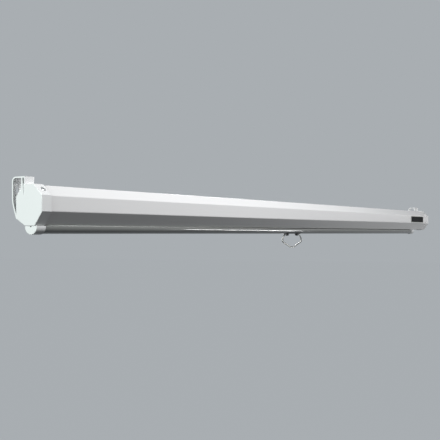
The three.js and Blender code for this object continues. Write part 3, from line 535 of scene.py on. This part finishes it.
class PROJECTOR_OT_badge(bpy.types.Operator):
    """Makes the badge: a bare black panel in a pale rim"""
    bl_idname = "projector_screen.badge"
    bl_label = "Badge"

    def execute(self, context):
        sizes, colours = context.scene.screen_sizes, context.scene.screen_colours
        rim = shared_material(badge_rim_plastic, tuple(colours.badge_rim))
        ink = shared_material(badge_panel_ink, tuple(colours.badge_panel))
        rounded_copy("badge_rim", "badge_frame", "case", rim, sizes.machined_edge)
        rounded_copy("badge_face", "badge_panel", "case", ink,
                     sizes.machined_edge / 2)
        return {"FINISHED"}


# Each inner piece's node, body, slot, material and colour
INNER_PIECES = [
    ("idle_bush", "case", "bronze", sintered_bronze, "bronze"),
    ("head_bush", "roller", "bronze", sintered_bronze, "bronze"),
    ("spindle", "case", "zinc_steel", zinc_plated_steel, "zinc"),
    ("gudgeon_pin", "roller", "zinc_steel", zinc_plated_steel, "zinc"),
    ("roller_tube", "roller", "zinc_steel", zinc_plated_steel, "zinc"),
    ("head_cover", "roller", "zinc_steel", zinc_plated_steel, "zinc"),
    ("pawl_pin_a", "roller", "zinc_steel", zinc_plated_steel, "zinc"),
    ("pawl_pin_b", "roller", "zinc_steel", zinc_plated_steel, "zinc"),
    ("ratchet_wheel", "case", "spring_steel", oiled_spring_steel, "spring_steel"),
    ("pawl_a", "pawl_a", "spring_steel", oiled_spring_steel, "spring_steel"),
    ("pawl_b", "pawl_b", "spring_steel", oiled_spring_steel, "spring_steel"),
    ("spindle_clip", "case", "spring_steel", oiled_spring_steel, "spring_steel"),
    ("idle_plug", "roller", "grey_plastic", moulded_acetal, "grey_moulding"),
    ("roller_head", "roller", "grey_plastic", moulded_acetal, "grey_moulding"),
    ("spring_anchor", "case", "grey_plastic", moulded_acetal, "grey_moulding"),
]


class PROJECTOR_OT_roller(bpy.types.Operator):
    """Finishes the roller, its bearings and its self-locking head"""
    bl_idname = "projector_screen.roller"
    bl_label = "Roller and locking head"

    def execute(self, context):
        sizes, colours = context.scene.screen_sizes, context.scene.screen_colours
        for node, body, slot, maker, colour_name in INNER_PIECES:
            stuff = shared_material(maker, tuple(getattr(colours, colour_name)))
            rounded_copy(f"{node}_finished", node, body, stuff, sizes.machined_edge)
        return {"FINISHED"}


# Steps in each curl of the spring, and sides of its wire
CURL_STEPS, SPRING_SIDES = 24, 12


class PROJECTOR_OT_spring(bpy.types.Operator):
    """Winds the torsion spring round the spindle"""
    bl_idname = "projector_screen.spring"
    bl_label = "Torsion spring"

    def execute(self, context):
        sizes, colours = context.scene.screen_sizes, context.scene.screen_colours
        wire = sizes.spring_wire
        coil = (SPRING_HIGH.z - SPRING_LOW.z) / 2 - wire
        span = SPRING_HIGH.x - SPRING_LOW.x - 2 * wire
        curls = round(span / sizes.spring_pitch)
        steps = curls * CURL_STEPS
        start_at = Vector((SPRING_HIGH.x - wire, ROLLER_AXIS.y + coil, ROLLER_AXIS.z))
        bm = bmesh.new()
        bmesh.ops.create_circle(bm, cap_ends=True, segments=SPRING_SIDES, radius=wire)
        bmesh.ops.translate(bm, vec=start_at, verts=bm.verts)
        bmesh.ops.spin(
            bm, geom=list(bm.verts) + list(bm.edges) + list(bm.faces),
            cent=ROLLER_AXIS, axis=(1, 0, 0), dvec=(-span / steps, 0, 0),
            angle=2 * math.pi * curls, steps=steps,
        )
        steel = shared_material(oiled_spring_steel, tuple(colours.spring_steel))
        piece("wound_spring", bm, "case", [steel], ["torsion_spring"])
        return {"FINISHED"}


# Cloth

# The share of its thickness that the cloth is drawn with, so that its layers stay apart
DRAWN_THICKNESS = 0.9
# Steps in each turn of the roll, in the lead and in the drop
SPIRAL_STEPS, LEAD_STEPS, DROP_STEPS = 60, 8, 48
# The hem's loop: where it starts on the rod's circle, the turn of each step, the number of steps
# and its gap from the rod
HEM_START, HEM_TURN, HEM_STEPS, HEM_GAP = math.radians(90), math.radians(15), 22, 0.1 * MM
# How far inside the bar's top the cloth starts to move wholly with the bar
BLEND_DEPTH = 0.5 * MM


def cloth_strip(name, path, run, thickness, body, replaces, materials):
    """A sheet as wide as the screen along a path of (y, z) points.

    Its white side is in front where the path rises. run gives the cloth's own length at each
    point, for its map. The sheet is one layer, and a live modifier gives it its thickness and
    its black back and rims.
    """
    bm = bmesh.new()
    uv = bm.loops.layers.uv.new(CLOTH_MAP)
    at = bm.verts.layers.float.new("run")
    verts = []
    for (y, z), here in zip(path, run):
        verts.append(bm.verts.new((DROP_LOW.x, y, z)))
        verts[-1][at] = here
    edges = [bm.edges.new(pair) for pair in zip(verts, verts[1:])]
    drawn = bmesh.ops.extrude_edge_only(bm, edges=edges)["geom"]
    far_verts = [g for g in drawn if isinstance(g, bmesh.types.BMVert)]
    width = DROP_HIGH.x - DROP_LOW.x
    bmesh.ops.translate(bm, vec=(width, 0, 0), verts=far_verts)
    bm.normal_update()
    first = edges[0].link_faces[0]
    along = Vector((0, path[1][0] - path[0][0], path[1][1] - path[0][1]))
    if first.normal.dot(Vector((1, 0, 0)).cross(along)) < 0:
        bmesh.ops.reverse_faces(bm, faces=bm.faces)
    for face in bm.faces:
        for loop in face.loops:
            loop[uv].uv = (loop.vert.co.x - DROP_LOW.x - width / 2, loop.vert[at])
    sheet = piece(name, bm, body, materials, replaces, closed=False)
    layers = sheet.modifiers.new("Thickness", "SOLIDIFY")
    layers.thickness, layers.offset = thickness, 0
    layers.material_offset = layers.material_offset_rim = 1
    return sheet


def wound_path(inner, outer, turns):
    """A spiral of (y, z) points about the roller's axis, wound outwards."""
    count = turns * SPIRAL_STEPS
    path = []
    for i in range(count + 1):
        radius = inner + (outer - inner) * i / count
        angle = 2 * math.pi * i / SPIRAL_STEPS
        path.append((ROLLER_AXIS.y + radius * math.cos(angle),
                     ROLLER_AXIS.z + radius * math.sin(angle)))
    return path


class PROJECTOR_OT_cloth(bpy.types.Operator):
    """Winds the screen on its roller and leads it through the slot to the bar"""
    bl_idname = "projector_screen.cloth"
    bl_label = "Screen cloth"

    def execute(self, context):
        sizes, colours = context.scene.screen_sizes, context.scene.screen_colours
        half_picture = (DROP_HIGH.x - DROP_LOW.x) / 2 - sizes.cloth_border
        face = shared_material(
            screen_face, tuple(colours.cloth_face), tuple(colours.cloth_back),
            half_picture, sizes.cloth_border, PULL - sizes.cloth_border,
        )
        back = shared_material(screen_back, tuple(colours.cloth_back))
        sides = [face, back]
        thick = sizes.cloth_thickness * DRAWN_THICKNESS

        outer = (ROLL_HIGH.z - ROLL_LOW.z) / 2 - sizes.cloth_thickness / 2
        inner = outer - (sizes.cloth_turns - 0.5) * sizes.cloth_thickness
        spiral = wound_path(inner, outer, sizes.cloth_turns)
        step = math.pi * (inner + outer) / SPIRAL_STEPS
        roll = cloth_strip("wound_cloth", spiral, [-i * step for i in range(len(spiral))], thick,
                           "roller", ["screen_roll"], sides)

        lead_size = LEAD_HIGH - LEAD_LOW
        lead_shares = [i / LEAD_STEPS for i in range(LEAD_STEPS + 1)]
        lead_path = [(LEAD_LOW.y + lead_size.y * t, LEAD_LOW.z + lead_size.z * t)
                     for t in lead_shares]
        lead_length = math.hypot(lead_size.y, lead_size.z)
        lead = cloth_strip("cloth_lead", lead_path, [-lead_length * t for t in lead_shares], thick,
                           "case", ["screen_lead"], sides)

        # The inverse of that curve places the rows of the drop, so that they are evenly spaced
        # once the bar is down.
        top = DROP_HIGH.z
        blend_end = BAR_HIGH.z - BLEND_DEPTH
        y = (DROP_LOW.y + DROP_HIGH.y) / 2
        weights = [i / DROP_STEPS for i in range(DROP_STEPS + 1)]
        shares = [0.5 - math.sin(math.asin(1 - 2 * w) / 3) for w in weights]
        drop_path = [(y, top + (blend_end - top) * t) for t in shares]
        drop_run = [PULL * w for w in weights]
        hem_centre = (HEM_LOW + HEM_HIGH) / 2
        hem_radius = (HEM_HIGH.z - HEM_LOW.z) / 2 + HEM_GAP + thick / 2
        for i in range(1, HEM_STEPS + 1):
            angle = HEM_START + HEM_TURN * i
            drop_path.append((hem_centre.y + hem_radius * math.cos(angle),
                              hem_centre.z + hem_radius * math.sin(angle)))
            drop_run.append(PULL + hem_radius * HEM_TURN * i)
        drop = cloth_strip("cloth_drop", drop_path[::-1], drop_run[::-1], thick, None,
                           ["screen_drop"], sides)
        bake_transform(drop)
        return {"FINISHED"}


# Corners nearer than this to the end of a bar cap's skirt are on its rim.
RIM_REACH = 0.5 * MM


class PROJECTOR_OT_weight_bar(bpy.types.Operator):
    """Finishes the weight bar, its two caps and the rod in the cloth's hem"""
    bl_idname = "projector_screen.weight_bar"
    bl_label = "Weight bar"

    def execute(self, context):
        sizes, colours = context.scene.screen_sizes, context.scene.screen_colours
        # The bar's colour is drawn darker than its real coat, as painted shade for the shadow
        # under the case.
        coat = shared_material(coated_aluminium_and_painted_shade, tuple(colours.bar_coat_and_painted_shade))
        plastic = shared_material(moulded_abs, tuple(colours.moulding))
        acetal = shared_material(moulded_acetal, tuple(colours.grey_moulding))
        rounded_copy("weight_bar_extrusion", "weight_bar", "bar", coat,
                     sizes.machined_edge)
        for end in ("left", "right"):
            rounded_copy(f"bar_end_{end}", f"bar_cap_{end}", "bar", plastic,
                         sizes.mould_radius / 2, shape=self.trimmed_cap(end, sizes.skirt_trim))
        rounded_copy("hem_rod_finished", "hem_rod", "bar", acetal,
                     sizes.machined_edge)
        return {"FINISHED"}

    def trimmed_cap(self, end, trim):
        """A bar cap whose skirt stops a little sooner, as the photograph shows it."""
        low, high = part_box(f"bar_cap_{end}")
        inner, way = (high.x, -1) if end == "left" else (low.x, 1)
        bm = cad_mesh(f"bar_cap_{end}")
        rim = [v for v in bm.verts if abs(v.co.x - inner) < RIM_REACH]
        bmesh.ops.translate(bm, vec=(way * trim, 0, 0), verts=rim)
        return bm


# Handle

# The corners of half the handle, from its stub to its foot: the share of its half width, and the
# shares of its drop that give the corner's depth and the radius of its bend
BAIL_SHARES = [
    (0.746, 0, 0.11),
    (0.945, 0.26, 0.3),
    (1, 0.57, 0.14),
    (0.53, 0.81, 0.4),
    (0.165, 1, 0.2),
]
WIRE_SIDES = 14
# The turn of each step of a bend, in degrees, and the fewest steps of a bend
BEND_STEP, FEWEST_BEND_STEPS = 7, 3


def bent_wire(start_at, corners, end_at, wire):
    """A wire in the XZ plane: straight runs, with a true arc at each (x, z, radius) corner."""
    spots = [Vector((x, 0, z)) for x, z, *_ in [start_at, *corners, end_at]]
    heading = (spots[1] - spots[0]).normalized()
    bm = bmesh.new()
    bmesh.ops.create_circle(bm, cap_ends=True, segments=WIRE_SIDES, radius=wire)
    turn = Vector((0, 0, 1)).rotation_difference(heading).to_matrix()
    bmesh.ops.rotate(bm, matrix=turn, verts=bm.verts)
    bmesh.ops.translate(bm, vec=spots[0], verts=bm.verts)
    ring = list(bm.verts) + list(bm.edges) + list(bm.faces)
    here = spots[0].copy()
    for i, (_, _, radius) in enumerate(corners, 1):
        ahead = (spots[i + 1] - spots[i]).normalized()
        bend = heading.angle(ahead)
        trim = radius * math.tan(bend / 2)
        arc_from = spots[i] - heading * trim
        ring = bmesh.ops.spin(bm, geom=ring, cent=here, axis=(0, 1, 0), dvec=arc_from - here,
                              angle=0, steps=1)["geom_last"]
        axis = heading.cross(ahead).normalized()
        centre = arc_from + axis.cross(heading) * radius
        steps = max(FEWEST_BEND_STEPS, round(math.degrees(bend) / BEND_STEP))
        ring = bmesh.ops.spin(bm, geom=ring, cent=centre, axis=axis, angle=bend,
                              steps=steps)["geom_last"]
        here = spots[i] + ahead * trim
        heading = ahead
    bmesh.ops.spin(bm, geom=ring, cent=here, axis=(0, 1, 0), dvec=spots[-1] - here, angle=0,
                   steps=1)
    return bm


class PROJECTOR_OT_handle(bpy.types.Operator):
    """Bends the wire handle and finishes the clip and screws that hold it"""
    bl_idname = "projector_screen.handle"
    bl_label = "Pull handle"

    def execute(self, context):
        sizes, colours = context.scene.screen_sizes, context.scene.screen_colours
        wire = sizes.handle_wire
        middle = (HANDLE_LOW + HANDLE_HIGH) / 2
        half_width = (HANDLE_HIGH.x - HANDLE_LOW.x) / 2 - wire
        pivot = HANDLE_HIGH.z - wire
        drop = pivot - HANDLE_LOW.z - wire
        stub = sizes.handle_stub
        half = [(half_width * a, -drop * d, drop * r) for a, d, r in BAIL_SHARES]
        corners = half + [(-x, z, r) for x, z, r in half[::-1]]
        bm = bent_wire((stub, 0), corners, (-stub, 0), wire)
        bmesh.ops.translate(bm, vec=(middle.x, middle.y, pivot), verts=bm.verts)
        nickel = shared_material(nickel_plated_wire, tuple(colours.nickel))
        piece("wire_handle", bm, "handle", [nickel], ["pull_handle"])
        black = shared_material(moulded_black_abs, tuple(colours.black_moulding))
        rounded_copy("clip_moulding", "handle_clip", "bar", black,
                     sizes.machined_edge)
        zinc = shared_material(zinc_plated_steel, tuple(colours.zinc))
        for end in ("left", "right"):
            rounded_copy(f"clip_screw_{end}_finished", f"clip_screw_{end}", "bar",
                         zinc, sizes.machined_edge / 2)
        return {"FINISHED"}


# Stage

# The camera that the photograph's perspective gives: its angles in radians, its focal length and
# picture width in pixels, and its sensor's width in millimetres
CAMERA_PLACE = Vector((-2.2531, -1.1370, -0.0954))
CAMERA_YAW, CAMERA_PITCH, CAMERA_ROLL = 1.025, 0.020, -0.007
FOCAL_PIXELS, PICTURE_PIXELS, SENSOR = 850, 440, 36
FARTHEST_SEEN = 200

# Each lamp's place, the point it is turned to, the width and depth of its face, its power in
# watts and its tint. The key stands before the screen, high enough to leave the undersides dim.
# The low and far lamps lift the undersides and the far end, the end lamp lights the near end
# face, and the right and rear lamps light the sides that the photograph doesn't show.
LAMPS = {
    "key_lamp": ((-0.42, -1.31, 1.52), (-0.42, -0.05, -0.03), (1.1, 0.4), 48, "#ffffff"),
    "low_lamp": ((1.58, -0.95, -0.72), (0.1, -0.05, -0.08), (0.7, 0.1), 5, "#ffffff"),
    "far_lamp": ((1.75, -0.45, 0.12), (1.11, -0.06, -0.03), (0.2, 0.2), 0.7, "#ffffff"),
    "end_lamp": ((-3.2, -0.15, 0.25), (-1.1, -0.04, -0.03), (0.9, 0.9), 49, "#f7fffc"),
    "right_lamp": ((2.5, 1.6, 0.85), (1.1, -0.04, -0.03), (0.7, 0.7), 22, "#ffffff"),
    "rear_lamp": ((0.3, 2.6, 0.9), (0, 0, -0.2), (1.8, 1.6), 56, "#ffffff"),
}


def area_lamp(name, place, aim, face, power, tint):
    """A soft oblong lamp at a place, turned to a point."""
    data = bpy.data.lights.new(name, "AREA")
    data.shape = "RECTANGLE"
    data.size, data.size_y = face
    data.energy = power
    data.color = linear(tint)
    lamp = bpy.data.objects.new(name, data)
    lamp.location = place
    lamp.rotation_euler = (Vector(aim) - Vector(place)).to_track_quat("-Z", "Y").to_euler()
    bpy.context.scene.collection.objects.link(lamp)
    return lamp


# The floor glows with its own colour to the eye, so that it looks like the background, and its
# paint sends little light back up. Shadows fall on the paint.
FLOOR_GLOW, FLOOR_PAINT = 0.99, 0.08
FLOOR_HALF_WIDTH = 60


def seen_or_mirrored(tree):
    """1 where a ray comes from the camera, a reflection or through glass, and 0 elsewhere."""
    path = add(tree, "LightPath")
    both = add(tree, "Math", {0: path.outputs["Is Camera Ray"], 1: path.outputs["Is Glossy Ray"]},
               operation="MAXIMUM")
    return add(tree, "Math", {0: both.outputs[0], 1: path.outputs["Is Transmission Ray"]},
               operation="MAXIMUM").outputs[0]


class PROJECTOR_OT_stage(bpy.types.Operator):
    """Sets the camera, the lamps, the world and the floor"""
    bl_idname = "projector_screen.stage"
    bl_label = "Stage"

    def execute(self, context):
        stage = context.scene.screen_stage
        self.make_camera(context)
        self.make_world(context, tuple(stage.background), stage.fill)
        self.make_floor(context, tuple(stage.background), stage.floor_drop)
        for name, lamp in LAMPS.items():
            area_lamp(name, *lamp)
        context.scene.view_settings.view_transform = "Standard"
        return {"FINISHED"}

    def make_camera(self, context):
        """The camera at the photograph's place and angle."""
        ahead = Vector((math.sin(CAMERA_YAW) * math.cos(CAMERA_PITCH),
                        math.cos(CAMERA_YAW) * math.cos(CAMERA_PITCH), math.sin(CAMERA_PITCH)))
        level = Vector((math.cos(CAMERA_YAW), -math.sin(CAMERA_YAW), 0))
        upright = level.cross(ahead)
        right = level * math.cos(CAMERA_ROLL) + upright * math.sin(CAMERA_ROLL)
        up = upright * math.cos(CAMERA_ROLL) - level * math.sin(CAMERA_ROLL)
        data = bpy.data.cameras.new("photo_camera")
        data.sensor_width = SENSOR
        data.lens = SENSOR * FOCAL_PIXELS / PICTURE_PIXELS
        data.clip_end = FARTHEST_SEEN
        camera = bpy.data.objects.new("photo_camera", data)
        turn = Matrix((right, up, -ahead)).transposed().to_4x4()
        camera.matrix_world = Matrix.Translation(CAMERA_PLACE) @ turn
        context.scene.collection.objects.link(camera)
        context.scene.camera = camera

    def make_world(self, context, pale, fill):
        """A world that looks pale and lights the object only softly."""
        world = bpy.data.worlds.new("studio")
        world.use_nodes = True
        tree = world.node_tree
        tree.nodes.clear()
        shown = add(tree, "Background", {"Color": (*pale, 1), "Strength": 1.0})
        dim = add(tree, "Background", {"Color": (1, 1, 1, 1), "Strength": fill})
        mix = add(tree, "MixShader", {
            0: seen_or_mirrored(tree),
            1: dim.outputs["Background"],
            2: shown.outputs["Background"],
        })
        add(tree, "OutputWorld", {"Surface": mix.outputs["Shader"]})
        context.scene.world = world

    def make_floor(self, context, pale, drop):
        """A wide plain floor, pale to the eye and dim to the object's underside."""
        bm = bmesh.new()
        bmesh.ops.create_grid(bm, x_segments=1, y_segments=1, size=FLOOR_HALF_WIDTH)
        bmesh.ops.translate(bm, vec=(0, 0, -drop), verts=bm.verts)
        mesh = bpy.data.meshes.new("floor")
        bm.to_mesh(mesh)
        bm.free()
        floor = bpy.data.objects.new("floor", mesh)
        surface = bpy.data.materials.new("painted_studio_floor")
        surface.use_nodes = True
        tree = surface.node_tree
        tree.nodes.clear()
        matt = add(tree, "BsdfDiffuse", {"Color": (*shade(pale, FLOOR_PAINT), 1)})
        glow = add(tree, "Emission", {"Color": (*pale, 1), "Strength": FLOOR_GLOW})
        lit = add(tree, "AddShader", {0: matt.outputs["BSDF"], 1: glow.outputs["Emission"]})
        mix = add(tree, "MixShader", {
            0: seen_or_mirrored(tree),
            1: matt.outputs["BSDF"],
            2: lit.outputs["Shader"],
        })
        add(tree, "OutputMaterial", {"Surface": mix.outputs["Shader"]})
        mesh.materials.append(surface)
        context.scene.collection.objects.link(floor)


# Add-on

GROUPS = {
    "screen_sizes": ScreenSizes,
    "screen_colours": ScreenColours,
    "screen_stage": StageSettings,
}
STEPS = (
    PROJECTOR_OT_stage,
    PROJECTOR_OT_case,
    PROJECTOR_OT_end_caps,
    PROJECTOR_OT_cap_screws,
    PROJECTOR_OT_badge,
    PROJECTOR_OT_roller,
    PROJECTOR_OT_spring,
    PROJECTOR_OT_cloth,
    PROJECTOR_OT_weight_bar,
    PROJECTOR_OT_handle,
)


class PROJECTOR_PT_panel(bpy.types.Panel):
    """Lists the steps that dress the projector screen"""
    bl_label = "Projector Screen"
    bl_idname = "PROJECTOR_PT_panel"
    bl_space_type = "VIEW_3D"
    bl_region_type = "UI"
    bl_category = "Projector Screen"

    def draw(self, context):
        for step in STEPS:
            self.layout.operator(step.bl_idname)
        for group in GROUPS:
            settings = getattr(context.scene, group)
            for name in settings.__annotations__:
                self.layout.prop(settings, name)


def register():
    for name, group in GROUPS.items():
        bpy.utils.register_class(group)
        setattr(bpy.types.Scene, name, PointerProperty(type=group))
    for step in (*STEPS, PROJECTOR_PT_panel):
        bpy.utils.register_class(step)


def unregister():
    for step in reversed((*STEPS, PROJECTOR_PT_panel)):
        bpy.utils.unregister_class(step)
    for name, group in reversed(GROUPS.items()):
        delattr(bpy.types.Scene, name)
        bpy.utils.unregister_class(group)


def main():
    register()
    for step in STEPS:
        group, name = step.bl_idname.split(".")
        getattr(getattr(bpy.ops, group), name)()


if __name__ == "__main__":
    main()
